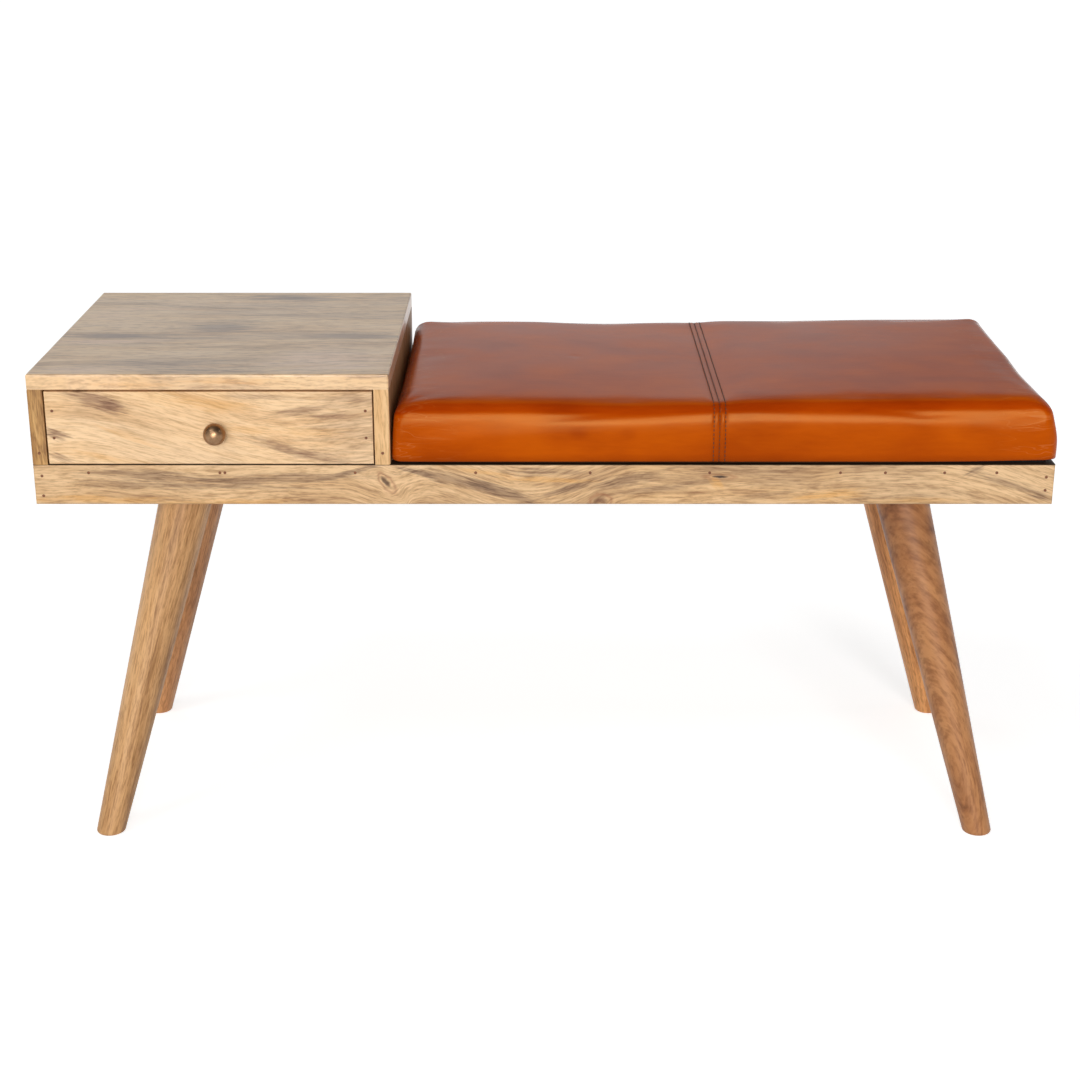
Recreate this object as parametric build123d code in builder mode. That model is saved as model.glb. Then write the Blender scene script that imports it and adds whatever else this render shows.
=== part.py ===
from build123d import *
import os
from math import cos, radians, sin, sqrt, tan

# Entry bench: a wooden base on four splayed, tapered legs carries a one-drawer case at
# its left end and a leather seat pad over the rest of its length. Millimetres. The origin
# is on the floor under the middle of the whole outline: X runs along the bench, the
# drawer opens towards -Y and Z is up.

# Base: rails and end boards round a flush deck.
WIDTH = 1100.0
DEPTH = 400.0
BOARD = 18.0
RAIL_HEIGHT = 45.0
RAIL_CLEARANCE = 411.0
EDGE_ROUND = 2.0

# Legs: straight tapers, splayed both ways, cut level at the floor and at the leg rails.
LEG_TOP_DIAMETER = 61.0
LEG_FOOT_DIAMETER = 32.0
LEG_FROM_END = 153.0
LEG_FROM_SIDE = 99.5
LEG_SPLAY_ALONG = 14.5
LEG_BACK_SPLAY_ALONG = 15.0
LEG_BACK_OUTSET = 1.5
LEG_SPLAY_ACROSS = 9.5
FOOT_ROUND = 3.0
LEG_RAIL_WIDTH = 120.0
LEG_RAIL_THICKNESS = 20.0

# Leg bolts and the flanged nuts let into the top of the leg rails.
BOLT_DIAMETER = 8.0
BOLT_IN_LEG = 45.0
NUT_FLANGE_DIAMETER = 22.0
NUT_FLANGE_THICKNESS = 1.6
NUT_BARREL_DIAMETER = 11.0
NUT_BARREL_LENGTH = 12.0
METAL_FIT = 0.1

# Countersunk wood screws, used under the leg rails and under the seat.
SCREW_DIAMETER = 4.0
SCREW_HEAD_DIAMETER = 8.0
SCREW_LENGTH = 32.0
SCREW_TIP = 5.0
LEG_SCREW_ALONG = 84.0
LEG_SCREW_ACROSS = 140.0
SEAT_SCREW_ALONG = 200.0
SEAT_SCREW_ACROSS = 240.0

# Pins driven flush through the rails, the case front and the drawer front.
PIN_DIAMETER = 3.2
PIN_LENGTH = 35.0
PIN_FIT = 0.05
RAIL_PIN_SHARES = (
    0.054, 0.1826, 0.1875, 0.315, 0.433, 0.545, 0.662, 0.790, 0.834, 0.892, 0.943
)
LEFT_END_PIN_SHARES = (0.28, 0.78)
RIGHT_END_PIN_SHARES = (0.31, 0.64)
CASE_PIN_RISE = 13.0

# Case: two side boards and a back under an overlapping top board, on hidden dowels.
CASE_WIDTH = 385.0
CASE_BOARD = 16.5
CASE_SIDE_HEIGHT = 83.5
CASE_BACK_THICKNESS = 10.0
DOWEL_DIAMETER = 8.0
DOWEL_IN_BOARD = 12.0
DOWEL_FROM_EDGE = 60.0
STOP_WIDTH = 30.0
STOP_DEPTH = 39.5
STOP_HEIGHT = 16.0
STOP_FROM_SIDE = 40.0

# Drawer: a flush front pinned to the side boards, a thin bottom in grooves.
DRAWER_SIDE_GAP = 1.6
DRAWER_TOP_GAP = 2.4
DRAWER_FOOT_GAP = 1.0
DRAWER_RUN = 0.3
DRAWER_STOP_GAP = 0.5
DRAWER_SIDE_THICKNESS = 15.0
DRAWER_SIDE_HEIGHT = 70.0
DRAWER_BACK_THICKNESS = 12.0
DRAWER_BOTTOM_THICKNESS = 5.0
DRAWER_BOTTOM_RISE = 8.0
GROOVE_DEPTH = 6.0
GROOVE_FIT = 0.1
DRAWER_PIN_RISES = (30.0, 60.0)
DRAWER_FRONT_ROUND = 0.8

# Knob: a brass ball on a collared neck, held by a screw from inside the drawer.
KNOB_DIAMETER = 24.0
KNOB_REACH = 27.0
KNOB_NECK_DIAMETER = 9.0
KNOB_COLLAR_DIAMETER = 14.0
KNOB_COLLAR_THICKNESS = 2.0
KNOB_OFFSET = 7.4
KNOB_DROP = 2.6
KNOB_SCREW_DIAMETER = 4.0
KNOB_SCREW_IN_KNOB = 11.0
KNOB_SCREW_HEAD_DIAMETER = 9.0
KNOB_SCREW_HEAD_HEIGHT = 3.0

# Seat pad: foam on a board under two leather panels that meet at the seam, left of the middle.
SEAT_GAP = 1.5
FELT_THICKNESS = 3.0
FELT_INSET = 9.0
SEAT_HEIGHT = 67.0
SEAT_CROWN = 4.0
SEAT_DRAW_IN = 2.0
SEAT_LEAN = 2.0
SEAT_CORNER = 12.0
SEAT_CORNER_SPREAD = 0.4
SEAT_TOP_ROUND = 17.0
SEAM_OFFSET = 5.5
SEAT_FOOT_ROUND = 2.5
SEAM_ROUND = 1.2
ROUND_STEPS = 4
CROWN_SHARES = (0.12, 0.3, 0.55, 0.8)
LEATHER_THICKNESS = 2.0
LEATHER_TURN_UNDER = 30.0
SEAT_BOARD_THICKNESS = 12.0

# Levels and faces that follow from the sizes above.
FRONT = (KNOB_REACH - DEPTH) / 2
BACK = FRONT + DEPTH
MIDDLE = (FRONT + BACK) / 2
LEFT = -WIDTH / 2
RIGHT = WIDTH / 2
DECK = RAIL_CLEARANCE + RAIL_HEIGHT
DECK_FOOT = DECK - BOARD
LEG_SEAT = DECK_FOOT - LEG_RAIL_THICKNESS
CASE_RIGHT = LEFT + CASE_WIDTH
CASE_HEAD = DECK + CASE_SIDE_HEIGHT

LOW = (Align.CENTER, Align.CENTER, Align.MIN)
HIGH = (Align.CENTER, Align.CENTER, Align.MAX)
CORNER = (Align.MIN, Align.MIN, Align.MIN)

finished = []


def keep(builder, name):
    """Name a finished sub-part and put it on the list to be written."""
    builder.part.label = name
    finished.append(builder.part)


def block(low, high):
    """A board between two opposite corners, added in the current part."""
    size = [b - a for a, b in zip(low, high)]
    with Locations(low):
        Box(*size, align=CORNER)


def ease(face, radius):
    """Round all the edges of one face of a board."""
    fillet(face.edges(), radius)


# Places of the pins: each looks out of the face it is driven into.
pin_level = DECK - BOARD / 2
rail_pin_xs = [LEFT + WIDTH * share for share in RAIL_PIN_SHARES]
rail_pin_spots = [(x, pin_level) for x in rail_pin_xs]
rail_pin_spots += [(LEFT + BOARD / 2, DECK - RAIL_HEIGHT * share) for share in LEFT_END_PIN_SHARES]
rail_pin_spots += [(RIGHT - BOARD / 2, DECK - RAIL_HEIGHT * share) for share in RIGHT_END_PIN_SHARES]
case_pin_xs = (LEFT + CASE_BOARD / 2, CASE_RIGHT - CASE_BOARD / 2)
front_pins = [Location((x, FRONT, z), (90, 0, 0)) for x, z in rail_pin_spots]
back_pins = [Location((x, BACK, z), (-90, 0, 0)) for x, z in rail_pin_spots]
case_pins = [Location((x, FRONT, DECK + CASE_PIN_RISE), (90, 0, 0)) for x in case_pin_xs]
pin_hole = PIN_DIAMETER / 2 + PIN_FIT


# Base frame
with BuildPart() as front_rail:
    block((LEFT, FRONT, RAIL_CLEARANCE), (RIGHT, FRONT + BOARD, DECK))
    ease(front_rail.faces().sort_by(Axis.Y)[0], EDGE_ROUND)
    with Locations(*front_pins):
        Hole(pin_hole, PIN_LENGTH)
keep(front_rail, "base_front_rail")

with BuildPart() as back_rail:
    block((LEFT, BACK - BOARD, RAIL_CLEARANCE), (RIGHT, BACK, DECK))
    ease(back_rail.faces().sort_by(Axis.Y)[-1], EDGE_ROUND)
    with Locations(*back_pins):
        Hole(pin_hole, PIN_LENGTH)
keep(back_rail, "base_back_rail")

# Dowels stand half in the case sides and half in the board under or over them.
dowel_ys = (FRONT + DOWEL_FROM_EDGE, BACK - DOWEL_FROM_EDGE)
left_dowels = [(LEFT + CASE_BOARD / 2, y) for y in dowel_ys]
right_dowels = [(CASE_RIGHT - CASE_BOARD / 2, y) for y in dowel_ys]
dowel_hole = DOWEL_DIAMETER / 2 + METAL_FIT


def drill_dowels(spots, level):
    """Dowel holes to the depth of half a dowel on both sides of a level."""
    with Locations(*[(x, y, level) for x, y in spots]):
        Cylinder(dowel_hole, 2 * DOWEL_IN_BOARD, mode=Mode.SUBTRACT)


with BuildPart() as left_end:
    block((LEFT, FRONT + BOARD, RAIL_CLEARANCE), (LEFT + BOARD, BACK - BOARD, DECK))
    with Locations(*front_pins, *back_pins):
        Hole(pin_hole, PIN_LENGTH)
    drill_dowels(left_dowels, DECK)
keep(left_end, "base_left_end")

with BuildPart() as right_end:
    block((RIGHT - BOARD, FRONT + BOARD, RAIL_CLEARANCE), (RIGHT, BACK - BOARD, DECK))
    with Locations(*front_pins, *back_pins):
        Hole(pin_hole, PIN_LENGTH)
keep(right_end, "base_right_end")

# Seat extents and the places of the screws that hold the seat down.
SEAT_LEFT = CASE_RIGHT + SEAT_GAP
SEAM = (SEAT_LEFT + RIGHT) / 2 - SEAM_OFFSET
SEAT_FOOT = DECK + FELT_THICKNESS
SEAT_HEAD = SEAT_FOOT + SEAT_HEIGHT
seat_screw_spots = [
    (SEAM + a * SEAT_SCREW_ALONG / 2, MIDDLE + b * SEAT_SCREW_ACROSS / 2)
    for a in (-1, 1)
    for b in (-1, 1)
]
leg_xs = (LEFT + LEG_FROM_END, RIGHT - LEG_FROM_END)
leg_screw_spots = [
    (x + a * LEG_SCREW_ALONG / 2, MIDDLE + b * LEG_SCREW_ACROSS)
    for x in leg_xs
    for a in (-1, 1)
    for b in (-1, 0, 1)
]
screw_hole = SCREW_DIAMETER / 2 + METAL_FIT
screw_head_hole = SCREW_HEAD_DIAMETER / 2 + METAL_FIT


def from_below(spots, level):
    """Places on a level underside, each drilled upwards."""
    return [Location((x, y, level), (180, 0, 0)) for x, y in spots]


with BuildPart() as deck:
    block((LEFT + BOARD, FRONT + BOARD, DECK_FOOT), (RIGHT - BOARD, BACK - BOARD, DECK))
    with Locations(*front_pins, *back_pins):
        Hole(pin_hole, PIN_LENGTH)
    drill_dowels(right_dowels, DECK)
    with Locations(*from_below(leg_screw_spots, LEG_SEAT)):
        Hole(screw_hole, SCREW_LENGTH)
    with Locations(*from_below(seat_screw_spots, DECK_FOOT)):
        CounterSinkHole(screw_hole, screw_head_hole, SCREW_LENGTH, 90)
keep(deck, "base_deck")

# Places of the leg heads: the back legs stand a little wider than the front ones.
leg_ends = (("left", -1), ("right", 1))
leg_rows = (
    ("front", -1, 0.0, LEG_SPLAY_ALONG),
    ("back", 1, LEG_BACK_OUTSET, LEG_BACK_SPLAY_ALONG),
)


def leg_head(along, across, outset):
    """The middle of a leg's head, in plan."""
    return along * (RIGHT - LEG_FROM_END + outset), MIDDLE + across * (DEPTH / 2 - LEG_FROM_SIDE)


# Leg rails
nut_hole = NUT_BARREL_DIAMETER / 2 + METAL_FIT
nut_flange_hole = NUT_FLANGE_DIAMETER / 2 + METAL_FIT
bolt_hole = BOLT_DIAMETER / 2 + METAL_FIT
for (end_name, along), leg_x in zip(leg_ends, leg_xs):
    heads = [leg_head(along, across, outset) for _, across, outset, _ in leg_rows]
    with BuildPart() as leg_rail:
        block(
            (leg_x - LEG_RAIL_WIDTH / 2, FRONT + BOARD, LEG_SEAT),
            (leg_x + LEG_RAIL_WIDTH / 2, BACK - BOARD, DECK_FOOT),
        )
        with Locations(*[(x, y, DECK_FOOT) for x, y in heads]):
            CounterBoreHole(nut_hole, nut_flange_hole, NUT_FLANGE_THICKNESS, NUT_BARREL_LENGTH)
            Hole(bolt_hole, LEG_RAIL_THICKNESS)
        with Locations(*from_below(leg_screw_spots, LEG_SEAT)):
            CounterSinkHole(screw_hole, screw_head_hole, LEG_RAIL_THICKNESS, 90)
    keep(leg_rail, "leg_rail_" + end_name)

# Legs: a cone about the splayed axis, longer than needed, cut by the floor and the seat.
leg_spread = tan(radians(LEG_SPLAY_ACROSS)) * LEG_SEAT
leg_spare = LEG_TOP_DIAMETER
leg_spots = []
for end_name, along in leg_ends:
    for row_name, across, outset, splay in leg_rows:
        leg_x, leg_y = leg_head(along, across, outset)
        leg_spots.append((leg_x, leg_y))
        leg_run = tan(radians(splay)) * LEG_SEAT
        leg_length = sqrt(leg_run**2 + leg_spread**2 + LEG_SEAT**2)
        leg_taper = (LEG_TOP_DIAMETER - LEG_FOOT_DIAMETER) / 2 / leg_length
        rise = Vector(-along * leg_run, -across * leg_spread, LEG_SEAT).normalized()
        foot = Vector(leg_x + along * leg_run, leg_y + across * leg_spread, 0)
        start = foot - rise * leg_spare
        start_radius = LEG_FOOT_DIAMETER / 2 - leg_taper * leg_spare
        end_radius = LEG_TOP_DIAMETER / 2 + leg_taper * leg_spare
        with BuildPart() as leg:
            with Locations(Plane(origin=start, z_dir=rise).location):
                Cone(start_radius, end_radius, leg_length + 2 * leg_spare, align=LOW)
            split(bisect_by=Plane.XY, keep=Keep.TOP)
            split(bisect_by=Plane.XY.offset(LEG_SEAT), keep=Keep.BOTTOM)
            fillet(leg.faces().sort_by(Axis.Z)[0].edges(), FOOT_ROUND)
            with Locations((leg_x, leg_y, LEG_SEAT)):
                Hole(bolt_hole, BOLT_IN_LEG)
        keep(leg, "leg_" + row_name + "_" + end_name)

# Leg bolts and nuts
bolt_head = DECK_FOOT - NUT_FLANGE_THICKNESS
with BuildPart() as leg_bolts:
    with Locations(*[(x, y, LEG_SEAT - BOLT_IN_LEG) for x, y in leg_spots]):
        Cylinder(BOLT_DIAMETER / 2, bolt_head - LEG_SEAT + BOLT_IN_LEG, align=LOW)
keep(leg_bolts, "leg_bolts")

with BuildPart() as leg_nuts:
    with Locations(*[(x, y, DECK_FOOT) for x, y in leg_spots]):
        Cylinder(NUT_FLANGE_DIAMETER / 2, NUT_FLANGE_THICKNESS, align=HIGH)
        Cylinder(NUT_BARREL_DIAMETER / 2, NUT_BARREL_LENGTH, align=HIGH)
        Hole(bolt_hole, NUT_BARREL_LENGTH)
keep(leg_nuts, "leg_nuts")

# Wood screws, head down
head_depth = (SCREW_HEAD_DIAMETER - SCREW_DIAMETER) / 2
with BuildPart() as screw_form:
    with BuildSketch(Plane.XZ) as screw_half:
        with BuildLine():
            Polyline(
                (0, 0),
                (SCREW_HEAD_DIAMETER / 2, 0),
                (SCREW_DIAMETER / 2, head_depth),
                (SCREW_DIAMETER / 2, SCREW_LENGTH - SCREW_TIP),
                (0, SCREW_LENGTH),
                close=True,
            )
        make_face()
    revolve(axis=Axis.Z)

with BuildPart() as leg_rail_screws:
    with Locations(*[(x, y, LEG_SEAT) for x, y in leg_screw_spots]):
        add(screw_form.part)
keep(leg_rail_screws, "leg_rail_screws")

with BuildPart() as seat_screws:
    with Locations(*[(x, y, DECK_FOOT) for x, y in seat_screw_spots]):
        add(screw_form.part)
keep(seat_screws, "seat_screws")

with BuildPart() as frame_pins:
    with Locations(*front_pins, *back_pins, *case_pins):
        Cylinder(PIN_DIAMETER / 2, PIN_LENGTH, align=HIGH)
keep(frame_pins, "frame_pins")

# Case
with BuildPart() as case_left:
    block((LEFT, FRONT, DECK), (LEFT + CASE_BOARD, BACK, CASE_HEAD))
    ease(case_left.faces().sort_by(Axis.X)[0], EDGE_ROUND)
    drill_dowels(left_dowels, DECK)
    drill_dowels(left_dowels, CASE_HEAD)
    with Locations(*case_pins):
        Hole(pin_hole, PIN_LENGTH)
keep(case_left, "case_left_side")

with BuildPart() as case_right:
    block((CASE_RIGHT - CASE_BOARD, FRONT, DECK), (CASE_RIGHT, BACK, CASE_HEAD))
    ease(case_right.faces().sort_by(Axis.X)[-1], EDGE_ROUND)
    drill_dowels(right_dowels, DECK)
    drill_dowels(right_dowels, CASE_HEAD)
    with Locations(*case_pins):
        Hole(pin_hole, PIN_LENGTH)
keep(case_right, "case_right_side")

with BuildPart() as case_top:
    block((LEFT, FRONT, CASE_HEAD), (CASE_RIGHT, BACK, CASE_HEAD + CASE_BOARD))
    fillet(case_top.edges().filter_by(Axis.Z), EDGE_ROUND)
    fillet(case_top.faces().sort_by(Axis.Z)[-1].edges(), EDGE_ROUND)
    drill_dowels(left_dowels + right_dowels, CASE_HEAD)
keep(case_top, "case_top")

with BuildPart() as case_back:
    block(
        (LEFT + CASE_BOARD, BACK - CASE_BACK_THICKNESS, DECK),
        (CASE_RIGHT - CASE_BOARD, BACK, CASE_HEAD),
    )
keep(case_back, "case_back")

with BuildPart() as case_dowels:
    with Locations(*[(x, y, z) for x, y in left_dowels + right_dowels for z in (DECK, CASE_HEAD)]):
        Cylinder(DOWEL_DIAMETER / 2, 2 * DOWEL_IN_BOARD)
keep(case_dowels, "case_dowels")

stop_face = BACK - CASE_BACK_THICKNESS - STOP_DEPTH
drawer_tail = stop_face - DRAWER_STOP_GAP
with BuildPart() as drawer_stops:
    for stop_x in (LEFT + CASE_BOARD + STOP_FROM_SIDE, CASE_RIGHT - CASE_BOARD - STOP_FROM_SIDE):
        block(
            (stop_x - STOP_WIDTH / 2, stop_face, DECK),
            (stop_x + STOP_WIDTH / 2, BACK - CASE_BACK_THICKNESS, DECK + STOP_HEIGHT),
        )
keep(drawer_stops, "drawer_stops")

# Drawer
drawer_left = LEFT + CASE_BOARD + DRAWER_SIDE_GAP
drawer_right = CASE_RIGHT - CASE_BOARD - DRAWER_SIDE_GAP
front_foot = DECK + DRAWER_FOOT_GAP
front_head = CASE_HEAD - DRAWER_TOP_GAP
front_back = FRONT + BOARD
side_foot = DECK + DRAWER_RUN
side_head = side_foot + DRAWER_SIDE_HEIGHT
bottom_foot = side_foot + DRAWER_BOTTOM_RISE
bottom_head = bottom_foot + DRAWER_BOTTOM_THICKNESS
inner_left = drawer_left + DRAWER_SIDE_THICKNESS
inner_right = drawer_right - DRAWER_SIDE_THICKNESS
knob_x = (drawer_left + drawer_right) / 2 + KNOB_OFFSET
knob_z = (front_foot + front_head) / 2 - KNOB_DROP
drawer_pin_xs = (
    drawer_left + DRAWER_SIDE_THICKNESS / 2,
    drawer_right - DRAWER_SIDE_THICKNESS / 2,
)
drawer_pin_places = [
    Location((x, FRONT, DECK + rise), (90, 0, 0)) for x in drawer_pin_xs for rise in DRAWER_PIN_RISES
]
knob_screw_hole = KNOB_SCREW_DIAMETER / 2 + METAL_FIT
groove_reach = GROOVE_DEPTH - GROOVE_FIT


def cut_groove(low_x, high_x, low_y, high_y):
    """Groove for the drawer bottom, over a run of the drawer's plan."""
    with Locations((low_x, low_y, bottom_foot - GROOVE_FIT)):
        Box(
            high_x - low_x,
            high_y - low_y,
            DRAWER_BOTTOM_THICKNESS + 2 * GROOVE_FIT,
            align=CORNER,
            mode=Mode.SUBTRACT,
        )


groove_left = inner_left - GROOVE_DEPTH
groove_right = inner_right + GROOVE_DEPTH
groove_front = front_back - GROOVE_DEPTH
with BuildPart() as drawer_front:
    block((drawer_left, FRONT, front_foot), (drawer_right, front_back, front_head))
    ease(drawer_front.faces().sort_by(Axis.Y)[0], DRAWER_FRONT_ROUND)
    cut_groove(groove_left, groove_right, groove_front, front_back)
    with Locations(*drawer_pin_places):
        Hole(pin_hole, PIN_LENGTH)
    with Locations(Location((knob_x, FRONT, knob_z), (90, 0, 0))):
        Hole(knob_screw_hole, BOARD)
keep(drawer_front, "drawer_front")

with BuildPart() as drawer_left_side:
    block((drawer_left, front_back, side_foot), (inner_left, drawer_tail, side_head))
    cut_groove(groove_left, inner_left, front_back, drawer_tail)
    with Locations(*drawer_pin_places):
        Hole(pin_hole, PIN_LENGTH)
keep(drawer_left_side, "drawer_left_side")

with BuildPart() as drawer_right_side:
    block((inner_right, front_back, side_foot), (drawer_right, drawer_tail, side_head))
    cut_groove(inner_right, groove_right, front_back, drawer_tail)
    with Locations(*drawer_pin_places):
        Hole(pin_hole, PIN_LENGTH)
keep(drawer_right_side, "drawer_right_side")

with BuildPart() as drawer_back:
    block(
        (inner_left, drawer_tail - DRAWER_BACK_THICKNESS, bottom_head),
        (inner_right, drawer_tail, side_head),
    )
keep(drawer_back, "drawer_back")

with BuildPart() as drawer_bottom:
    block(
        (inner_left - groove_reach, front_back - groove_reach, bottom_foot),
        (inner_right + groove_reach, drawer_tail, bottom_head),
    )
keep(drawer_bottom, "drawer_bottom")

with BuildPart() as drawer_pins:
    with Locations(*drawer_pin_places):
        Cylinder(PIN_DIAMETER / 2, PIN_LENGTH, align=HIGH)
keep(drawer_pins, "drawer_pins")

# Knob, turned about an axis that points out of the drawer front
knob_ball = KNOB_DIAMETER / 2
knob_neck = KNOB_NECK_DIAMETER / 2
knob_collar = KNOB_COLLAR_DIAMETER / 2
ball_centre = KNOB_REACH - knob_ball
neck_end = ball_centre - sqrt(knob_ball**2 - knob_neck**2)
knob_plane = Plane(origin=(knob_x, FRONT, knob_z), x_dir=(1, 0, 0), z_dir=(0, 0, -1))
knob_axis = Axis((knob_x, FRONT, knob_z), (0, -1, 0))
with BuildPart() as knob:
    with BuildSketch(knob_plane) as knob_half:
        with BuildLine():
            Polyline(
                (0, KNOB_REACH),
                (0, 0),
                (knob_collar, 0),
                (knob_collar, KNOB_COLLAR_THICKNESS),
                (knob_neck, KNOB_COLLAR_THICKNESS),
                (knob_neck, neck_end),
            )
            ThreePointArc((knob_neck, neck_end), (knob_ball, ball_centre), (0, KNOB_REACH))
        make_face()
    revolve(axis=knob_axis)
    with Locations(Location((knob_x, FRONT, knob_z), (-90, 0, 0))):
        Hole(knob_screw_hole, KNOB_SCREW_IN_KNOB)
keep(knob, "drawer_knob")

with BuildPart() as knob_screw:
    with Locations(Location((knob_x, front_back, knob_z), (-90, 0, 0))):
        Cylinder(KNOB_SCREW_DIAMETER / 2, BOARD + KNOB_SCREW_IN_KNOB, align=HIGH)
        Cylinder(KNOB_SCREW_HEAD_DIAMETER / 2, KNOB_SCREW_HEAD_HEIGHT, align=LOW)
keep(knob_screw, "knob_screw")

# Seat pad. Each half is lofted through level outlines from the seam to its outer end. Its
# sides are drawn in between the corners and lean in a little, its corners open towards the top
# and its crown rises away from every edge, so the seam lies in a shallow valley.
half_width = {-1: SEAM - SEAT_LEFT, 1: RIGHT - SEAM}
SEAT_RIM = SEAT_HEAD - SEAT_CROWN
quarter_turn = [radians(90 * step / ROUND_STEPS) for step in range(ROUND_STEPS + 1)]


def pad_outline(side, level, end_inset, side_inset, seam_inset, draw_in, corner, seam_round):
    """Level outline of one half of the pad, shrunk by an inset on each side."""
    seam_x = SEAM + side * seam_inset
    end_x = SEAM + side * (half_width[side] - end_inset)
    middle_x = (seam_x + end_x) / 2
    low, high = FRONT + side_inset, BACK - side_inset
    with BuildSketch(Plane.XY.offset(level)) as outline:
        with BuildLine():
            Line((seam_x, high - draw_in), (seam_x, low + draw_in))
            ThreePointArc((seam_x, low + draw_in), (middle_x, low + draw_in / 4), (end_x, low))
            ThreePointArc((end_x, low), (end_x - side * draw_in, MIDDLE), (end_x, high))
            ThreePointArc((end_x, high), (middle_x, high - draw_in / 4), (seam_x, high - draw_in))
        make_face()
        fillet(outline.vertices().sort_by(lambda v: abs(v.X - SEAM))[-2:], corner)
        if seam_round:
            fillet(outline.vertices().sort_by(lambda v: abs(v.X - SEAM))[:2], seam_round)
    return outline.sketch


def pad_half(side, skin, foot_round, seam_round):
    """One half of the pad inside a skin, with its foot, top and crown rounded."""
    levels = []
    if foot_round:
        for turn in quarter_turn[:-1]:
            inset = foot_round * (1 - sin(turn))
            level = SEAT_FOOT + foot_round * (1 - cos(turn))
            levels.append((level, inset))
    else:
        levels.append((SEAT_FOOT + skin, skin))
    top_round = SEAT_TOP_ROUND - skin
    for turn in quarter_turn:
        inset = skin + top_round * (1 - cos(turn))
        level = SEAT_RIM - SEAT_TOP_ROUND + top_round * sin(turn)
        levels.append((level, inset))
    outlines = []
    for level, inset in levels:
        corner = SEAT_CORNER + SEAT_CORNER_SPREAD * inset
        inset += SEAT_LEAN * (level - SEAT_FOOT) / (SEAT_RIM - SEAT_FOOT)
        outlines.append(
            pad_outline(side, level, inset, inset, 0, SEAT_DRAW_IN, corner, seam_round)
        )
    edge = SEAT_TOP_ROUND + SEAT_LEAN
    for share in CROWN_SHARES:
        outlines.append(
            pad_outline(
                side,
                SEAT_RIM - skin + SEAT_CROWN * (1 - (1 - share) ** 2),
                edge + share * (half_width[side] / 2 - edge),
                edge + share * (DEPTH / 2 - edge),
                share * half_width[side] / 2,
                SEAT_DRAW_IN * (1 - share),
                SEAT_CORNER + SEAT_CORNER_SPREAD * SEAT_TOP_ROUND,
                seam_round,
            )
        )
    with BuildPart() as half:
        loft(outlines, ruled=True)
    return half.part


outer = {side: pad_half(side, 0, SEAT_FOOT_ROUND, SEAM_ROUND) for side in (-1, 1)}
inner = {side: pad_half(side, LEATHER_THICKNESS, 0, 0) for side in (-1, 1)}
board_foot = SEAT_FOOT + LEATHER_THICKNESS
board_head = board_foot + SEAT_BOARD_THICKNESS

for side, side_name in ((-1, "left"), (1, "right")):
    with BuildPart() as seat_cover:
        add(outer[side])
        add(inner[side], mode=Mode.SUBTRACT)
        with Locations(((SEAT_LEFT + RIGHT) / 2, MIDDLE, SEAT_FOOT)):
            Box(
                RIGHT - SEAT_LEFT - 2 * LEATHER_TURN_UNDER,
                DEPTH - 2 * LEATHER_TURN_UNDER,
                LEATHER_THICKNESS,
                align=LOW,
                mode=Mode.SUBTRACT,
            )
    keep(seat_cover, "seat_cover_" + side_name)

with BuildPart() as seat_foam:
    add(inner[-1])
    add(inner[1])
    split(bisect_by=Plane.XY.offset(board_head), keep=Keep.TOP)
keep(seat_foam, "seat_foam")

with BuildPart() as seat_board:
    add(inner[-1])
    add(inner[1])
    split(bisect_by=Plane.XY.offset(board_head), keep=Keep.BOTTOM)
    with Locations(*from_below(seat_screw_spots, DECK_FOOT)):
        Hole(screw_hole, SCREW_LENGTH)
keep(seat_board, "seat_board")

with BuildPart() as seat_felt:
    with Locations(((SEAT_LEFT + RIGHT) / 2, MIDDLE, DECK)):
        Box(
            RIGHT - SEAT_LEFT - 2 * FELT_INSET,
            DEPTH - 2 * FELT_INSET,
            FELT_THICKNESS,
            align=LOW,
        )
    with Locations(*from_below(seat_screw_spots, DECK_FOOT)):
        Hole(screw_hole, SCREW_LENGTH)
keep(seat_felt, "seat_felt")

os.makedirs("parts", exist_ok=True)
for solid in finished:
    export_step(solid, "parts/" + solid.label + ".step")
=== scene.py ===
from math import cos, exp, pi, radians, sin, sqrt

import bmesh
import bpy
from mathutils import Euler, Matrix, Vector, noise
from mathutils.bvhtree import BVHTree


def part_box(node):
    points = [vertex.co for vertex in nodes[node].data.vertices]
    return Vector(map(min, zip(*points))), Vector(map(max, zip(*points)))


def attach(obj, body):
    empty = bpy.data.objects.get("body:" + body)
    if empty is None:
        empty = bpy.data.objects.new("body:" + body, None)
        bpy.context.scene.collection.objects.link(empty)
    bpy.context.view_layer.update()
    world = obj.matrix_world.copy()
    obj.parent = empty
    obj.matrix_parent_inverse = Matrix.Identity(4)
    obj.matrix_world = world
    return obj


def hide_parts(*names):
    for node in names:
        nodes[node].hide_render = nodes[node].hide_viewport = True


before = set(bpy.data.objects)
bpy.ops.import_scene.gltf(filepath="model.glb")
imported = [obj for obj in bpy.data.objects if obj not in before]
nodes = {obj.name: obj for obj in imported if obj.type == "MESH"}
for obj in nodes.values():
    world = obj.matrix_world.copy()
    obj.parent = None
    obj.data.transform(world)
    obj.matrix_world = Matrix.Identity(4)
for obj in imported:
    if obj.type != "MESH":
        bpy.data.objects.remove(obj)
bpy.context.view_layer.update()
scene = bpy.context.scene
MM = 0.001
TINY = 1e-9


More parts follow.
